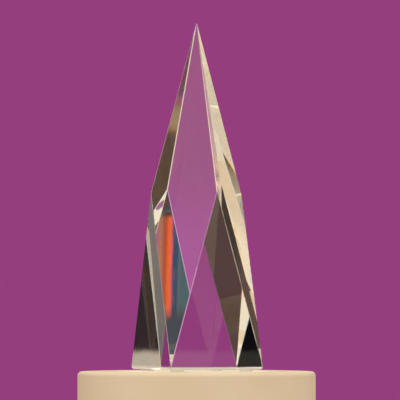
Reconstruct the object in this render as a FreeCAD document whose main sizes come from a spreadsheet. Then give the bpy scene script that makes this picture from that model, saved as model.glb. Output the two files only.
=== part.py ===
"""Crystal award: a faceted obelisk of clear optical crystal on four clear bumper feet.

The crystal is a square column with upright sides, ground to a point by four long facets that face the
column's corners. Each facet is a kite: it starts at the point, is widest where it reaches the middle of
two neighbouring sides (the shoulders), and ends just above a base corner. What is left of each side is a
tall triangle on the full width of the base. Every edge has a narrow polished bevel.

Frame: millimetres, +Z up, origin on the surface the award stands on, below the point. The upright sides
face X and Y, and the front is -Y.
"""

import os

import FreeCAD, Part
import Sketcher
from FreeCAD import Placement, Rotation, Vector

SHEET = "dimensions"

# alias, millimetres, meaning
DIMENSIONS = [
    ("base_side", 72, "side of the square column"),
    ("crystal_height", 251, "underside to the blunt tip"),
    ("apex_height", 252.4, "underside to where the four facet planes would meet"),
    ("shoulder_height", 127.2, "underside to the top of each upright side"),
    ("edge_bevel", 0.6, "width of the bevel on facet and corner edges"),
    ("base_bevel", 1.2, "setback of the bevel round the underside"),
    ("grind_reach", 80, "how far from the axis the ground-off stock runs"),
    ("grind_spare", 4, "how far the ground-off stock runs past the ends of the blank"),
    ("bumper_diameter", 9.5, "bumper foot across"),
    ("bumper_height", 1.5, "bumper foot, surface to crystal"),
    ("bumper_round", 0.5, "radius on a bumper's lower rim"),
    ("bumper_inset", 9, "bumper centre to each of the two nearest sides"),
]

# name of the corner, sign along X, sign along Y
CORNERS = [
    ("front_left", -1, -1),
    ("front_right", 1, -1),
    ("rear_right", 1, 1),
    ("rear_left", -1, 1),
]

doc = FreeCAD.newDocument("crystal_award")


def cell(alias):
    """The name of a sheet value inside an expression."""
    return f"{SHEET}.{alias}"


HALF_SIDE = f"({cell('base_side')} / 2)"
SHOULDER_DROP = f"({cell('apex_height')} - {cell('shoulder_height')})"

# Angles of the ground flats. A flat's tilt is how far its outward normal points above the horizontal.
# A facet stands over a base corner and passes the shoulders, so one drop below the apex it is the half
# side over sqrt(2) from the axis. A ridge is where two facets meet, above the middle of a side.
FACET_TILT = f"atan({HALF_SIDE} / sqrt(2) / {SHOULDER_DROP})"
RIDGE_TILT = f"atan({HALF_SIDE} / {SHOULDER_DROP})"
# The turn of the surface across a ridge, and across a border, where a facet meets an upright side.
RIDGE_TURN = f"acos(sin({FACET_TILT}) ^ 2)"
BORDER_TURN = f"acos(cos({FACET_TILT}) / sqrt(2))"
# A border bevel's normal is half way between the facet's and the side's.
BORDER_AZIMUTH = f"atan(cos({FACET_TILT}) / (sqrt(2) + cos({FACET_TILT})))"
BORDER_TILT = f"asin(sin({FACET_TILT}) / (2 * cos({BORDER_TURN} / 2)))"


def bevel_depth(turn):
    """How deep a bevel of the sheet's width goes into an edge across which the surface turns so far."""
    return f"{cell('edge_bevel')} / 2 * tan({turn} / 2)"


# Each set of four like flats: name, azimuth of the first from +X towards +Y, tilt, distance of its
# plane from the middle of the underside, and the height at which the grinding ends.
TOP = f"{cell('crystal_height')} + {cell('grind_spare')}"
FACET_DISTANCE = f"{cell('apex_height')} * sin({FACET_TILT})"
RIDGE_DISTANCE = f"{cell('apex_height')} * sin({RIDGE_TILT}) - {bevel_depth(RIDGE_TURN)}"
BORDER_DISTANCE = (
    f"({HALF_SIDE} * (1 + cos({FACET_TILT}) / sqrt(2)) + {cell('shoulder_height')} * sin({FACET_TILT}))"
    f" / (2 * cos({BORDER_TURN} / 2)) - {bevel_depth(BORDER_TURN)}"
)
CORNER_DISTANCE = f"{HALF_SIDE} * sqrt(2) - {bevel_depth('90deg')}"
BASE_DISTANCE = f"({HALF_SIDE} - {cell('base_bevel')}) * cos(45)"
FLATS = [
    ("facet", "45", FACET_TILT, FACET_DISTANCE, TOP),
    ("ridge_bevel", "0", RIDGE_TILT, RIDGE_DISTANCE, TOP),
    ("border_bevel_left", BORDER_AZIMUTH, BORDER_TILT, BORDER_DISTANCE, TOP),
    ("border_bevel_right", f"-{BORDER_AZIMUTH}", BORDER_TILT, BORDER_DISTANCE, TOP),
    ("corner_bevel", "45", "0", CORNER_DISTANCE, TOP),
    ("base_bevel", "0", "-45", BASE_DISTANCE, cell("grind_spare")),
]


def fill_sheet():
    """The spreadsheet that holds every driving dimension."""
    sheet = doc.addObject("Spreadsheet::Sheet", SHEET)
    for row, (alias, value, meaning) in enumerate(DIMENSIONS, start=1):
        sheet.set(f"A{row}", meaning)
        sheet.set(f"B{row}", str(value))
        sheet.setAlias(f"B{row}", alias)
    doc.recompute()


def new_body(name):
    """An empty body whose label names its file."""
    body = doc.addObject("PartDesign::Body", name)
    body.Label = name
    return body


def origin_feature(body, role):
    """A plane or an axis of the body's own origin."""
    return next(item for item in body.Origin.OriginFeatures if item.Role == role)


def new_sketch(body, name, plane):
    """A sketch on one of the body's own planes."""
    sketch = body.newObject("Sketcher::SketchObject", name)
    sketch.AttachmentSupport = [(origin_feature(body, plane), "")]
    sketch.MapMode = "FlatFace"
    return sketch


def value_of(sketch, expression):
    """What an expression comes to now, as a plain number."""
    result = sketch.evalExpression(expression)
    return float(getattr(result, "Value", result))


def add_outline(sketch, corners):
    """A closed outline of straight sides. Each corner is two expressions, along the sketch's x and y."""
    count = len(corners)
    points = [Vector(value_of(sketch, x), value_of(sketch, y), 0) for x, y in corners]
    for start, end in zip(points, points[1:] + points[:1]):
        sketch.addGeometry(Part.LineSegment(start, end), False)
    for side in range(count):
        sketch.addConstraint(Sketcher.Constraint("Coincident", side, 2, (side + 1) % count, 1))
    for side, (point, (x, y)) in enumerate(zip(points, corners)):
        for kind, value, expression in (("DistanceX", point.x, x), ("DistanceY", point.y, y)):
            index = sketch.addConstraint(Sketcher.Constraint(kind, -1, 1, side, 1, value))
            sketch.setExpression(f"Constraints[{index}]", expression)


def add_blank(body):
    """The square column that the flats are ground on. Its top leaves the blunt tip."""
    sketch = new_sketch(body, "column_outline", "XY_Plane")
    add_outline(sketch, [(f"{x} * {HALF_SIDE}", f"{y} * {HALF_SIDE}") for _, x, y in CORNERS])
    column = body.newObject("PartDesign::Pad", "column")
    column.Profile = sketch
    column.setExpression("Length", cell("crystal_height"))
    doc.recompute()
    return column


def grind_flats(body, name, azimuth, tilt, distance, top):
    """Four like flats, a quarter turn apart, ground by taking away all stock outside their planes.

    The profile stands in the upright plane that holds the first flat's normal, where the flat is seen
    edge on: at height z it is (distance - z sin(tilt)) / cos(tilt) from the axis.
    """
    bottom = f"-{cell('grind_spare')}"
    reach = cell("grind_reach")
    low, high = (f"({distance} - ({z}) * sin({tilt})) / cos({tilt})" for z in (bottom, top))

    profile = new_sketch(body, f"{name}_profile", "XZ_Plane")
    profile.AttachmentOffset = Placement(Vector(), Rotation(Vector(0, 1, 0), value_of(profile, azimuth)))
    profile.setExpression("AttachmentOffset.Rotation.Angle", azimuth)
    add_outline(profile, [(high, top), (low, bottom), (reach, bottom), (reach, top)])
    ground_off = body.newObject("PartDesign::Pocket", f"{name}_stock")
    ground_off.Profile = profile
    ground_off.Midplane = True
    ground_off.setExpression("Length", f"2 * {reach}")
    doc.recompute()

    flats = body.newObject("PartDesign::PolarPattern", f"{name}s")
    flats.Originals = [ground_off]
    flats.Axis = (origin_feature(body, "Z_Axis"), [""])
    flats.Angle = 360
    flats.Occurrences = len(CORNERS)
    body.Tip = flats
    doc.recompute()
    return flats


def make_crystal():
    """The crystal: a square blank, ground flat by flat. Each set of flats has to take some stock away."""
    body = new_body("crystal_obelisk")
    volume = add_blank(body).Shape.Volume
    for flat in FLATS:
        ground = grind_flats(body, *flat)
        if not 0 < ground.Shape.Volume < volume:
            raise RuntimeError(f"{ground.Label} took nothing away")
        volume = ground.Shape.Volume
    body.setExpression("Placement.Base.z", cell("bumper_height"))
    return body


def make_bumper(corner, along_x, along_y):
    """A bumper foot: a low clear disc with a rounded lower rim, stuck under one corner."""
    body = new_body(f"bumper_{corner}")
    outline = new_sketch(body, f"outline_{corner}", "XY_Plane")
    radius = value_of(outline, f"{cell('bumper_diameter')} / 2")
    outline.addGeometry(Part.Circle(Vector(), Vector(0, 0, 1), radius), False)
    outline.addConstraint(Sketcher.Constraint("Coincident", 0, 3, -1, 1))
    index = outline.addConstraint(Sketcher.Constraint("Diameter", 0, 2 * radius))
    outline.setExpression(f"Constraints[{index}]", cell("bumper_diameter"))
    disc = body.newObject("PartDesign::Pad", f"disc_{corner}")
    disc.Profile = outline
    disc.setExpression("Length", cell("bumper_height"))
    doc.recompute()

    rim = next(
        f"Edge{number}"
        for number, edge in enumerate(disc.Shape.Edges, start=1)
        if edge.isClosed() and edge.CenterOfMass.z < disc.Length.Value / 2
    )
    rounded = body.newObject("PartDesign::Fillet", f"rim_{corner}")
    rounded.Base = (disc, [rim])
    rounded.setExpression("Radius", cell("bumper_round"))
    from_middle = f"({HALF_SIDE} - {cell('bumper_inset')})"
    body.setExpression("Placement.Base.x", f"{along_x} * {from_middle}")
    body.setExpression("Placement.Base.y", f"{along_y} * {from_middle}")
    return body


def check_document():
    """Stops on any object that failed to build."""
    for item in doc.Objects:
        if {"Invalid", "Error"} & set(item.State):
            raise RuntimeError(f"{item.Label} failed: {item.State}")


def write_parts(bodies):
    """One STEP file for each piece, after each shape has been checked."""
    for body in bodies:
        shape = body.Shape
        if shape.isNull() or not shape.isValid() or len(shape.Solids) != 1:
            raise RuntimeError(f"{body.Label} is not one valid solid")
    os.makedirs("parts", exist_ok=True)
    for body in bodies:
        body.Shape.exportStep(f"parts/{body.Label}.step")


fill_sheet()
pieces = [make_crystal()] + [make_bumper(*corner) for corner in CORNERS]
doc.recompute()
check_document()
write_parts(pieces)
for piece in pieces:
    print(f"{piece.Label}: {piece.Shape.Volume:.1f} mm3, {len(piece.Shape.Faces)} faces")
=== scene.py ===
"""A faceted crystal award on four clear bumpers, on a pale turntable in a cream room hung with coloured
panels. The block is clear, so most of what it shows is that room."""
import math

import bpy
import numpy as np
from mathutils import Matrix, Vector


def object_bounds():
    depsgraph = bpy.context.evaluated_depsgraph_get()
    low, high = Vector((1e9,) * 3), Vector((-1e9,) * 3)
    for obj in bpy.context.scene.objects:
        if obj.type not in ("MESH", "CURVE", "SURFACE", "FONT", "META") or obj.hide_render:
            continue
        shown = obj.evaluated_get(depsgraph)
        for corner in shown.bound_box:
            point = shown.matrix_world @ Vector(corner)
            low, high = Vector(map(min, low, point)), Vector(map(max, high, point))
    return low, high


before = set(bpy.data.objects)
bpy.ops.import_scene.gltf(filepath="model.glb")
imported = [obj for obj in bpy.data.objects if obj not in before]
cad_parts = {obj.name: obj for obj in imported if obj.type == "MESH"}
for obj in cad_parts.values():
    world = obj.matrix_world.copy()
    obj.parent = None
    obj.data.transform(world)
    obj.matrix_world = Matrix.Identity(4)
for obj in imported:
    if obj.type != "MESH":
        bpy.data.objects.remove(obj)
cad_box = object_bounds()

CRYSTAL = "crystal_obelisk"
BUMPERS = [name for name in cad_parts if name.startswith("bumper_")]

# Where the viewer stands: the turn round the award from straight in front, how far away and how high the
# eye is, and how far it looks up and aside from the award's axis.
VIEW_TURN = math.radians(-24.03)
VIEW_DISTANCE = 2.0
EYE_HEIGHT = 0.0302
LOOK_UP = math.radians(2.686)
LOOK_ASIDE = math.radians(-0.071)
LENS = 248.5
SENSOR = 36.0

# The turntable that the award stands on. It glows softly out to GLOW_RADIUS, over a fade of GLOW_FADE.
TABLE_RADIUS = 0.086
TABLE_THICKNESS = 0.05
TABLE_EDGE = 0.003
# TABLE_GLOW is the strength of painted light: the table glows in its own colour under the award.
TABLE_GLOW = 0.45
GLOW_RADIUS = 0.052
GLOW_FADE = 0.02

# The overhead light.
OVERHEAD_HEIGHT = 1.6
OVERHEAD_SIZE = 1.2
OVERHEAD_POWER = 4.0
OVERHEAD_COLOUR = (1.0, 0.98, 0.94)

# The crystal's long facets pass the middle of each side at the shoulders and would meet at the apex, so
# their normals point this far above the horizontal. Heights are above the crystal's underside.
HALF_SIDE = cad_box[1][0]
APEX_HEIGHT = 0.2524
SHOULDER_HEIGHT = 0.1272
FACET_LEAN = math.atan(HALF_SIDE / math.sqrt(2) / (APEX_HEIGHT - SHOULDER_HEIGHT))

# The crystal's finish: its refractive index and how far the warm and cool glasses are from it, the
# roughness of its polish, of the streaks in it and of its bevels, and how square on a direction a face
# has to be, as a cosine, to count as facing it.
GLASS_INDEX = 1.520
INDEX_SPREAD = 0.0055
POLISH_HAZE = 0.012
STREAK_HAZE = 0.02
BEVEL_SATIN = 0.15
SQUARE_ON = 0.999

# How many times light may bounce. Every facet that it crosses inside the block takes one.
LIGHT_BOUNCES = 32


def srgb(red, green, blue, strength=1.0):
    """A colour given as 0-255 display values, as linear light times strength."""
    def linear(value):
        share = value / 255
        return share / 12.92 if share <= 0.04045 else ((share + 0.055) / 1.055) ** 2.4
    return tuple(linear(v) * strength for v in (red, green, blue))


class Flow:
    """A node socket that takes part in sums: every operator adds the Math node that does it."""

    def __init__(self, tree, socket):
        self.tree = tree
        self.socket = socket

    def math(self, operation, *others):
        values = dict(enumerate((self, *others)))
        return node(self.tree, "ShaderNodeMath", {"operation": operation}, values)

    def __add__(self, other):
        return self.math("ADD", other)

    def __radd__(self, other):
        return self.math("ADD", other)

    def __sub__(self, other):
        return self.math("SUBTRACT", other)

    def __rsub__(self, other):
        return node(self.tree, "ShaderNodeMath", {"operation": "SUBTRACT"}, {0: other, 1: self})

    def __mul__(self, other):
        return self.math("MULTIPLY", other)

    def __rmul__(self, other):
        return self.math("MULTIPLY", other)

    def step(self, start, width):
        """0 before start - width / 2, 1 after start + width / 2, and a smooth rise between."""
        return node(
            self.tree,
            "ShaderNodeMapRange",
            {"interpolation_type": "SMOOTHSTEP", "clamp": True},
            {"Value": self, "From Min": start - width / 2, "From Max": start + width / 2},
        )


def node(tree, kind, settings=None, values=None, output=0):
    """Adds a node: its settings first, then each socket's value or link. Returns one output as a Flow."""
    made = tree.nodes.new(kind)
    for name, value in (settings or {}).items():
        setattr(made, name, value)
    for name, value in (values or {}).items():
        socket = made.inputs[name]
        if isinstance(value, Flow):
            tree.links.new(value.socket, socket)
        elif isinstance(value, tuple) and len(socket.default_value) == 4:
            socket.default_value = (*value[:3], 1.0)
        else:
            socket.default_value = value
    return Flow(tree, made.outputs[output])


def blend(share, under, over):
    """under where share is 0 and over where it is 1, as colours."""
    return node(
        share.tree,
        "ShaderNodeMix",
        {"data_type": "RGBA"},
        {0: share, 6: under, 7: over},
        output=2,
    )


def empty_material(name):
    """A material with nothing but its output node."""
    material = bpy.data.materials.new(name)
    material.use_nodes = True
    material.node_tree.nodes.clear()
    output = material.node_tree.nodes.new("ShaderNodeOutputMaterial")
    return material, material.node_tree, output


def wear(piece, material):
    """Puts one material in every slot of a piece."""
    slots = piece.material_slots
    for slot in slots:
        slot.link = "DATA"
        slot.material = material
    if not slots:
        piece.data.materials.append(material)


# ---------------------------------------------------------------- finishes


def crystal_glass():
    """Polished optical crystal. Light that enters a broad face is shared between a warm glass and a cool
    one, each at twice its strength and bending a little less or more than the mean, so that edges seen
    through the block have a fringe of colour. Inside the block and on the bevels the glass is white. The
    broad faces have a faint waviness and streaks of haze from polishing, and the bevels are satin."""
    material, tree, output = empty_material("polished_crystal")
    place = node(tree, "ShaderNodeTexCoord", output="Object")
    wave = node(
        tree, "ShaderNodeTexNoise", {}, {"Vector": place, "Scale": 28.0, "Detail": 1.0, "Roughness": 0.4}
    )
    streak_place = node(
        tree,
        "ShaderNodeMapping",
        {},
        {"Vector": place, "Rotation": (0.3, 0.2, 0.6), "Scale": (1.0, 1.0, 0.12)},
    )
    streak = node(tree, "ShaderNodeTexNoise", {}, {"Vector": streak_place, "Scale": 900.0, "Detail": 3.0})
    haze = streak.step(0.62, 0.2) * STREAK_HAZE + POLISH_HAZE
    normal = node(tree, "ShaderNodeNewGeometry", output="True Normal")
    folded_normal = node(
        tree, "ShaderNodeVectorMath", {"operation": "ABSOLUTE"}, {0: normal}, output="Vector"
    )

    def faces(direction):
        """1 on a face square on to direction or to its mirror images in X, Y and Z, and 0 elsewhere."""
        along = node(
            tree,
            "ShaderNodeVectorMath",
            {"operation": "DOT_PRODUCT"},
            {0: folded_normal, 1: direction},
            output="Value",
        )
        return along.math("GREATER_THAN", SQUARE_ON)

    outwards = math.cos(FACET_LEAN) * math.sqrt(0.5)
    sides = faces((1.0, 0.0, 0.0)) + faces((0.0, 1.0, 0.0))
    facets = faces((outwards, outwards, math.sin(FACET_LEAN)))
    broad = sides + faces((0.0, 0.0, 1.0)) + facets
    roughness = haze + (1 - broad) * BEVEL_SATIN
    surface = node(
        tree, "ShaderNodeBump", {}, {"Strength": 0.02, "Distance": 0.0004, "Height": wave}, output="Normal"
    )
    glasses = {}
    for name, colour, bending in (
        ("white", (1.0, 1.0, 1.0), GLASS_INDEX),
        ("warm", (2.0, 1.0, 0.0), GLASS_INDEX - INDEX_SPREAD),
        ("cool", (0.0, 1.0, 2.0), GLASS_INDEX + INDEX_SPREAD),
    ):
        glasses[name] = node(
            tree,
            "ShaderNodeBsdfGlass",
            {"distribution": "GGX"},
            {"Color": colour, "Roughness": roughness, "IOR": bending, "Normal": surface},
        )
    fan = node(tree, "ShaderNodeMixShader", {}, {0: 0.5, 1: glasses["warm"], 2: glasses["cool"]})
    inside = node(tree, "ShaderNodeNewGeometry", output="Backfacing")
    plain = inside.math("MAXIMUM", 1 - broad)
    shader = node(tree, "ShaderNodeMixShader", {}, {0: plain, 1: fan, 2: glasses["white"]})
    tree.links.new(shader.socket, output.inputs["Surface"])
    return material


def clear_rubber():
    """Clear polyurethane: a soft, slightly cloudy plastic with a fine moulded grain. It is partly
    see-through, because its top lies on the crystal and light would be lost between the two faces."""
    material, tree, output = empty_material("clear_polyurethane")
    place = node(tree, "ShaderNodeTexCoord", output="Object")
    cloud = node(tree, "ShaderNodeTexNoise", {}, {"Vector": place, "Scale": 700.0, "Detail": 3.0})
    grain = node(tree, "ShaderNodeTexNoise", {}, {"Vector": place, "Scale": 6000.0, "Detail": 2.0})
    surface = node(
        tree, "ShaderNodeBump", {}, {"Strength": 0.15, "Distance": 0.00005, "Height": grain}, output="Normal"
    )
    tint = blend(cloud.step(0.5, 0.4), srgb(250, 252, 250), srgb(238, 242, 238))
    shader = node(
        tree,
        "ShaderNodeBsdfPrincipled",
        {},
        {
            "Base Color": tint,
            "Roughness": cloud * 0.12 + 0.25,
            "IOR": 1.5,
            "Transmission Weight": 0.2,
            "Alpha": 0.35,
            "Normal": surface,
        },
    )
    tree.links.new(shader.socket, output.inputs["Surface"])
    return material


def pale_table():
    """Plain matt cream lacquer with a breath of unevenness, and a soft glow in its own colour under the
    award: painted light, standing in for the light that the block keeps away."""
    material, tree, output = empty_material("pale_table")
    place = node(tree, "ShaderNodeTexCoord", output="Object")
    cloud = node(tree, "ShaderNodeTexNoise", {}, {"Vector": place, "Scale": 12.0, "Detail": 4.0})
    grain = node(tree, "ShaderNodeTexNoise", {}, {"Vector": place, "Scale": 900.0, "Detail": 2.0})
    surface = node(
        tree, "ShaderNodeBump", {}, {"Strength": 0.04, "Distance": 0.0002, "Height": grain}, output="Normal"
    )
    tint = blend(cloud.step(0.5, 0.5), srgb(238, 226, 204), srgb(231, 217, 192))
    from_middle = node(tree, "ShaderNodeVectorMath", {"operation": "LENGTH"}, {0: place}, output="Value")
    # painted light: the table emits its own colour out to GLOW_RADIUS, under the award
    glow = blend(from_middle.step(GLOW_RADIUS, GLOW_FADE), tint, (0.0, 0.0, 0.0))
    shader = node(
        tree,
        "ShaderNodeBsdfPrincipled",
        {},
        {
            "Base Color": tint,
            "Roughness": 0.75,
            "Normal": surface,
            "Emission Color": glow,
            "Emission Strength": TABLE_GLOW,
        },
    )
    tree.links.new(shader.socket, output.inputs["Surface"])
    return material


# ---------------------------------------------------------------- the studio


def turned_solid(name, radii, heights, sides=256):
    """A closed solid of revolution about Z. Each (radius, height) of the profile goes round as a ring, whose
    point at angle a is (radius cos a, radius sin a, height), and the first and last rings are filled."""
    angle = np.linspace(0.0, 2 * math.pi, sides, endpoint=False)
    rings = np.stack(
        [
            np.outer(radii, np.cos(angle)),
            np.outer(radii, np.sin(angle)),
            np.outer(heights, np.ones(sides)),
        ],
        axis=-1,
    )
    ring, side = np.meshgrid(np.arange(len(radii) - 1), np.arange(sides), indexing="ij")
    after = (side + 1) % sides
    low = ring * sides
    high = low + sides
    quads = np.stack([low + side, low + after, high + after, high + side], axis=-1).reshape(-1, 4)
    bottom = np.arange(sides)[::-1].tolist()
    top = (np.arange(sides) + (len(radii) - 1) * sides).tolist()
    mesh = bpy.data.meshes.new(name)
    mesh.from_pydata(rings.reshape(-1, 3).tolist(), [], quads.tolist() + [bottom, top])
    made = bpy.data.objects.new(name, mesh)
    bpy.context.scene.collection.objects.link(made)
    return made


def turntable():
    """The pale round table, its top at height 0. Its upper edge is a quarter round of radius TABLE_EDGE and
    its lower edge a bevel of the same size."""
    turn = np.linspace(0.0, math.pi / 2, 9)
    flat_radius = TABLE_RADIUS - TABLE_EDGE
    radii = np.concatenate([[flat_radius, TABLE_RADIUS], TABLE_RADIUS - TABLE_EDGE * (1 - np.cos(turn))])
    heights = np.concatenate(
        [[-TABLE_THICKNESS, -TABLE_THICKNESS + TABLE_EDGE], TABLE_EDGE * (np.sin(turn) - 1)]
    )
    table = turned_solid("turntable", radii, heights)
    wear(table, pale_table())
    return table


def surroundings():
    """The room as light from every direction: a pale cream floor, cream walls and a brighter ceiling, with
    windows and coloured panels hung in it, each over those before it. A panel is given by its left and right
    edges, in degrees to the right of straight behind the award, its lower and upper edges, in degrees above
    the horizon, and how many degrees its edges fade over. With no panels the room is plain."""
    world = bpy.data.worlds.new("studio")
    world.use_nodes = True
    tree = world.node_tree
    tree.nodes.clear()
    output = tree.nodes.new("ShaderNodeOutputWorld")
    direction = node(tree, "ShaderNodeTexCoord", output="Generated")

    def along(x, y, z):
        """How far direction, of length 1, goes along (x, y, z)."""
        return node(
            tree,
            "ShaderNodeVectorMath",
            {"operation": "DOT_PRODUCT"},
            {0: direction, 1: (x, y, z)},
            output="Value",
        )

    ahead = along(-math.sin(VIEW_TURN), math.cos(VIEW_TURN), 0.0)
    aside = along(math.cos(VIEW_TURN), math.sin(VIEW_TURN), 0.0)
    turn = aside.math("ARCTAN2", ahead) * math.degrees(1)
    rise = along(0.0, 0.0, 1.0).math("ARCSINE") * math.degrees(1)

    floor_cream = srgb(244, 228, 200)
    wall_cream = srgb(208, 193, 171)
    ceiling_cream = srgb(248, 234, 206, 1.1)
    room = blend(rise.step(-8, 6), floor_cream, wall_cream)
    room = blend(rise.step(42, 36), room, ceiling_cream)

    window = srgb(255, 244, 226, 1.5)
    plum = srgb(149, 62, 126)
    bright_plum = srgb(164, 69, 148)
    dusty_plum = srgb(172, 104, 152)
    deep_plum = srgb(98, 36, 74)
    grey_plum = srgb(104, 70, 88)
    dark_plum = srgb(60, 42, 50)
    pale_pink = srgb(214, 150, 196)
    rose = srgb(196, 104, 126)
    dull_rose = srgb(141, 68, 100)
    brown = srgb(74, 52, 49)
    warm_brown = srgb(70, 48, 42)
    deep_brown = srgb(66, 46, 36)
    light_brown = srgb(82, 62, 58)
    dark_brown = srgb(50, 38, 34)
    black_brown = srgb(42, 33, 31)
    grey_brown = srgb(52, 41, 42)
    red_brown = srgb(66, 40, 40)
    rust = srgb(62, 32, 20)
    tan = srgb(120, 90, 62)
    pale_tan = srgb(144, 118, 85)
    near_black = srgb(12, 12, 14)
    black = srgb(9, 9, 12)
    warm_black = srgb(20, 14, 14)
    warm_grey = srgb(118, 111, 107)
    slate = srgb(48, 60, 72)
    teal = srgb(58, 92, 98)
    orange = srgb(238, 136, 74)
    red = srgb(240, 50, 56)
    panels = (
        # colour, left, right, low, high, softness
        # windows behind the viewer, with a dark gap under them at the middle
        (window, 148, 181, 9, 55, 6),
        (window, -181, -144, 9, 55, 6),
        (near_black, 170, 181, -7, 5, 2),
        (near_black, -181, -170, -7, 5, 2),
        # windows at the sides, and small dark panels near them and behind the viewer
        (window, 74, 94, 2, 50, 6),
        (window, -102, -86, 4, 50, 6),
        (warm_brown, 60, 73, 16, 28, 2),
        (deep_brown, 163, 180, 30, 42, 3),
        (deep_brown, -98, -87, -11, 1, 2),
        (dark_plum, 119, 150, -24, -4, 2),
        (tan, -156, -143, -10, -2, 2),
        # plum at both sides, and the dark panels beside it
        (plum, -124, -103, -50, 18, 6),
        (plum, 98, 119, -70, 18, 6),
        (plum, -80, -58, -50, -12, 4),
        (grey_plum, -150, -124, -40, -25, 3),
        (grey_brown, 124, 143, -0.46, 16, 0.15),
        # brown and black to the left of the plum backdrop
        (light_brown, -60, -9.5, -11.5, 15, 3),
        (dark_brown, -66, -48, -20, -10, 2),
        (black_brown, -60, -30.5, -8.4, 15, 1),
        (red_brown, -30.4, -9.5, -11.5, -7.2, 0.6),
        (black, -84, -42, -10.5, 9, 2),
        # the plum backdrop straight behind the award, and its lighter patches
        (plum, -8.5, 27.62, -50, 20, 0.3),
        (bright_plum, -8, 27.62, -50, -10.5, 2.5),
        (pale_pink, 6, 20, -16, 1, 3),
        (dusty_plum, -19, -6, -13, -4, 3),
        (rose, 24, 27.62, -16, -3.9, 3),
        # brown and grey to the right of it
        (brown, 15, 62, -3.96, 13, 0.15),
        (warm_grey, 27.8, 62, -11, 5, 0.1),
        # narrow strips at its right-hand edge, which the block shows as a band of colour
        (teal, 27.8, 30.2, -9, -3.96, 0.12),
        (orange, 27.48, 27.6, -9, -3.96, 0.1),
        (red, 27.58, 27.63, -9, -3.96, 0.03),
        (warm_black, 27.63, 27.8, -9, -3.96, 0.04),
        (slate, 27.3, 30.2, -9, -5.95, 0.35),
        # a low dark panel on the right, with a plum one and two thin light lines across it
        (rust, 33, 50, -30, -12, 1.0),
        (deep_plum, 33, 50, -16.6, -12.5, 0.3),
        (pale_tan, 33, 50, -17.18, -16.62, 0.25),
        (dull_rose, 33, 50, -16.62, -16.42, 0.12),
    )
    for colour, left, right, low, high, softness in panels:
        inside = turn.step(left, softness) * (1 - turn.step(right, softness))
        upright = rise.step(low, softness) * (1 - rise.step(high, softness))
        room = blend(inside * upright, room, colour)
    light = node(tree, "ShaderNodeBackground", {}, {"Color": room, "Strength": 1.0})
    tree.links.new(light.socket, output.inputs["Surface"])
    bpy.context.scene.world = world


def overhead_box():
    """A large square soft box straight above the middle of the award, facing down."""
    low, high = cad_box
    data = bpy.data.lights.new("overhead_box", "AREA")
    data.shape = "SQUARE"
    data.size = OVERHEAD_SIZE
    data.energy = OVERHEAD_POWER
    data.color = OVERHEAD_COLOUR
    lamp = bpy.data.objects.new("overhead_box", data)
    lamp.location = (low + high) / 2 + Vector((0.0, 0.0, OVERHEAD_HEIGHT))
    bpy.context.scene.collection.objects.link(lamp)


def camera():
    """The viewer's camera, low and to the left of straight in front, looking slightly up."""
    data = bpy.data.cameras.new("camera")
    data.lens = LENS
    data.sensor_width = SENSOR
    data.clip_start = 0.05
    data.clip_end = 50.0
    viewer = bpy.data.objects.new("camera", data)
    across = VIEW_DISTANCE * math.sin(VIEW_TURN)
    back = VIEW_DISTANCE * math.cos(VIEW_TURN)
    viewer.location = (across, -back, EYE_HEIGHT)
    viewer.rotation_euler = (math.radians(90) + LOOK_UP, 0.0, VIEW_TURN + LOOK_ASIDE)
    bpy.context.scene.collection.objects.link(viewer)
    bpy.context.scene.camera = viewer


wear(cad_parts[CRYSTAL], crystal_glass())
rubber = clear_rubber()
for name in BUMPERS:
    wear(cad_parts[name], rubber)
turntable()
surroundings()
overhead_box()
camera()
for bounces in ("max_bounces", "transmission_bounces", "glossy_bounces"):
    setattr(bpy.context.scene.cycles, bounces, LIGHT_BOUNCES)
bpy.context.scene.view_settings.view_transform = "Standard"
